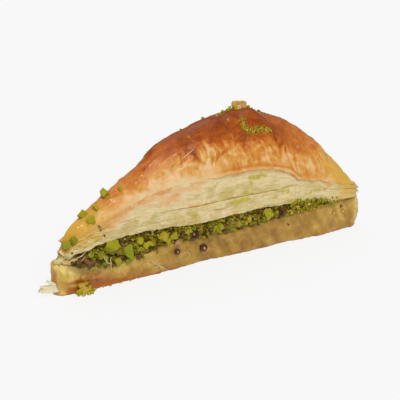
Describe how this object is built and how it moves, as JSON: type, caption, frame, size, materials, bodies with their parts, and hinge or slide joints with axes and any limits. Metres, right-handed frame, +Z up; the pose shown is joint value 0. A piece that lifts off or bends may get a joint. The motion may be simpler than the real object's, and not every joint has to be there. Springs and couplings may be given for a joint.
{
  "type": "baklava slice",
  "caption": "Long wedge of baklava from a round tray: syrup-soaked pastry base, chopped pistachio filling and a domed, glazed, flaky top crust.",
  "frame": {"origin": "on the table under the middle of the slice's bounding box", "axes": "+X along the slice from its pointed tip to its wide rim, +Y across it, +Z up"},
  "size_m": [0.135, 0.0458, 0.0542],
  "materials": {
    "base": "moist, syrup-soaked, slightly glossy",
    "filling": "coarse chopped nut, moist in places",
    "crust": "baked brown and glazed with syrup, paler at the cut leaves"
  },
  "bodies": {
    "root": {"base_pastry": "base", "pistachio_filling": "filling", "upper_pastry": "crust"}
  },
  "joints": []
}
